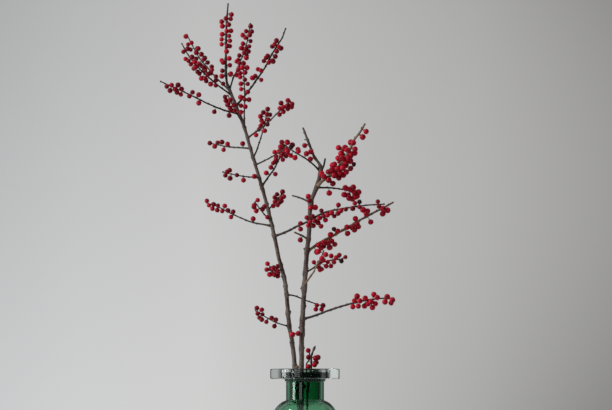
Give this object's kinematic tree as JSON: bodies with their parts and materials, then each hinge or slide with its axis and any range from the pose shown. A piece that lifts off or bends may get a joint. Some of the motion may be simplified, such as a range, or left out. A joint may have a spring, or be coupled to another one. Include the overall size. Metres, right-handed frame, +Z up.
{
  "type": "winterberry branches in vase",
  "caption": "Bare winterberry branches with clustered red drupes, standing in a green glass bottle vase with a wide flat flange.",
  "frame": {"origin": "middle of the vase's flat foot, on the surface it stands on", "axes": "+Z up along the vase's axis, -Y towards the viewer, +X to the viewer's right"},
  "size_m": [0.3469, 0.1742, 0.7881],
  "materials": {
    "glass": "clear green pressed glass, smooth and glossy",
    "bark": "thin grey-brown bark with small pale pores, matte",
    "twig": "dark brown twig bark with red glossy drupes on short pedicels",
    "pale_twig": "tan twig bark with red glossy drupes on short pedicels",
    "drupe": "deep red glossy fruit skin with a small dark scar at the tip"
  },
  "bodies": {
    "root": {"left_leader": "twig", "left_shoot_01": "twig", "left_shoot_02": "twig", "left_shoot_03": "twig", "left_shoot_04": "twig", "left_shoot_05": "twig", "left_shoot_06": "twig", "left_shoot_07": "twig", "left_shoot_08": "twig", "left_shoot_09": "twig", "left_shoot_10": "twig", "left_shoot_11": "twig", "left_shoot_12": "twig", "left_shoot_13": "twig", "left_shoot_14": "twig", "left_shoot_15": "twig", "left_shoot_16": "twig", "left_shoot_17": "twig", "left_shoot_18": "twig", "left_shoot_19": "twig", "left_shoot_20": "twig", "left_stem": "bark", "right_leader": "bark", "right_shoot_01": "twig", "right_shoot_02": "twig", "right_shoot_03": "pale_twig", "right_shoot_04": "twig", "right_shoot_05": "pale_twig", "right_shoot_06": "pale_twig", "right_shoot_07": "twig", "right_shoot_08": "twig", "right_shoot_09": "twig", "right_shoot_10": "pale_twig", "right_shoot_11": "twig", "right_shoot_12": "twig", "right_stem": "bark", "sprig_leader": "twig", "sprig_stem": "bark", "sprig_twig": "twig", "vase": "glass"}
  },
  "joints": []
}
